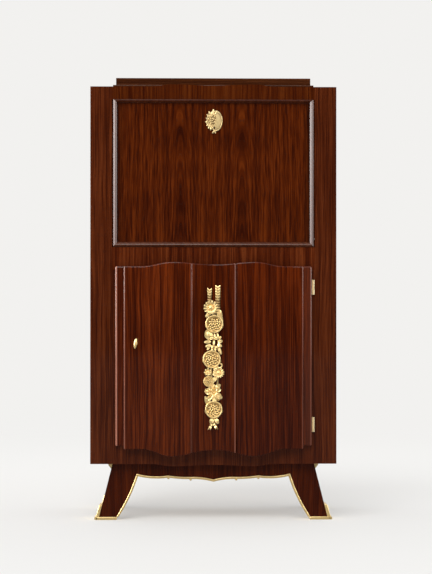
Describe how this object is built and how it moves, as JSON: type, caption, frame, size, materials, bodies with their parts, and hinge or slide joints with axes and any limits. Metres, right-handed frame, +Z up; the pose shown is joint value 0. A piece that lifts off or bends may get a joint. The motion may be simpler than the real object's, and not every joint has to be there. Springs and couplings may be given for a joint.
{
  "type": "bar cabinet with fold out shelf",
  "caption": "Tall veneered bar cabinet on splayed sabre legs: a hinged front flap folds out as a serving shelf over a lower cupboard with a shaped door and gilt mounts.",
  "frame": {"origin": "centre of the bounding box on the floor", "axes": "+Z up, the front faces -Y, +X to the right of someone who looks at the front"},
  "size_m": [0.84, 0.4556, 1.515],
  "materials": {
    "mahogany": "glossy varnish",
    "sycamore": "satin varnish",
    "gilt_bronze": "gilded, half polished",
    "brass": "polished",
    "steel": "brushed",
    "glass": "clear",
    "mirror": "silvered"
  },
  "bodies": {
    "cabinet": {"back_panel": "sycamore", "bar_floor": "sycamore", "bar_mirror": "mirror", "base_trims": "gilt_bronze", "bottom_board": "sycamore", "bottom_rail": "mahogany", "cupboard_ceiling": "sycamore", "cupboard_shelf": "sycamore", "door_hinge_frame_leaves": "gilt_bronze", "flap_pivot_bushes": "brass", "flap_stop_batten": "sycamore", "front_apron": "mahogany", "front_left_leg": "mahogany", "front_left_sabot": "gilt_bronze", "front_right_leg": "mahogany", "front_right_sabot": "gilt_bronze", "glass_shelf": "glass", "left_apron": "mahogany", "left_bar_lining": "sycamore", "left_door_jamb": "mahogany", "left_side_panel": "mahogany", "left_stile": "mahogany", "middle_rail": "mahogany", "rear_apron": "mahogany", "rear_left_leg": "mahogany", "rear_right_leg": "mahogany", "rear_sabots": "gilt_bronze", "right_apron": "mahogany", "right_bar_lining": "sycamore", "right_door_jamb": "mahogany", "right_side_panel": "mahogany", "right_stile": "mahogany", "shelf_pins": "brass", "stay_guides": "brass", "strike_plates": "brass", "top_board": "mahogany", "top_plinth": "mahogany", "top_rail": "mahogany"},
    "flap": {"flap_panel": "mahogany", "flap_lining": "sycamore", "flap_top_bead": "mahogany", "flap_bottom_bead": "mahogany", "flap_left_bead": "mahogany", "flap_right_bead": "mahogany", "flap_pivot_pins": "steel", "flap_escutcheon": "gilt_bronze", "flap_lock_case": "steel", "left_stay": "brass", "right_stay": "brass"},
    "flap_bolt": {"flap_lock_bolt": "steel"},
    "door": {"door_back_board": "mahogany", "door_left_panel": "mahogany", "door_right_panel": "mahogany", "door_centre_panel": "mahogany", "door_garland": "gilt_bronze", "door_hinge_door_leaves": "gilt_bronze", "door_lock_case": "steel", "door_knob_rose": "gilt_bronze"},
    "knob": {"door_knob": "gilt_bronze"},
    "door_bolt": {"door_bolt": "steel"}
  },
  "joints": [
    {"name": "flap_hinge", "type": "hinge", "parent": "cabinet", "child": "flap", "pos_m": [0, -0.16225, 0.9605], "axis": [1, 0, 0], "range_deg": [0, 90]},
    {"name": "flap_bolt_slide", "type": "slide", "parent": "flap", "child": "flap_bolt", "axis": [0, 0, 1], "range_m": [0, 0.008]},
    {"name": "door_hinge", "type": "hinge", "parent": "cabinet", "child": "door", "pos_m": [0.3407, -0.17625, 0.5615], "axis": [0, 0, 1], "range_deg": [0, 115]},
    {"name": "knob_turn", "type": "hinge", "parent": "door", "child": "knob", "pos_m": [-0.264, -0.2, 0.6045], "axis": [0, -1, 0], "range_deg": [0, 90]},
    {"name": "door_bolt_slide", "type": "slide", "parent": "door", "child": "door_bolt", "axis": [-1, 0, 0], "range_m": [0, 0.008]}
  ],
  "couplings": [
    {"joint": "door_bolt_slide", "follows": "knob_turn", "m_per_rad": 0.005093}
  ]
}
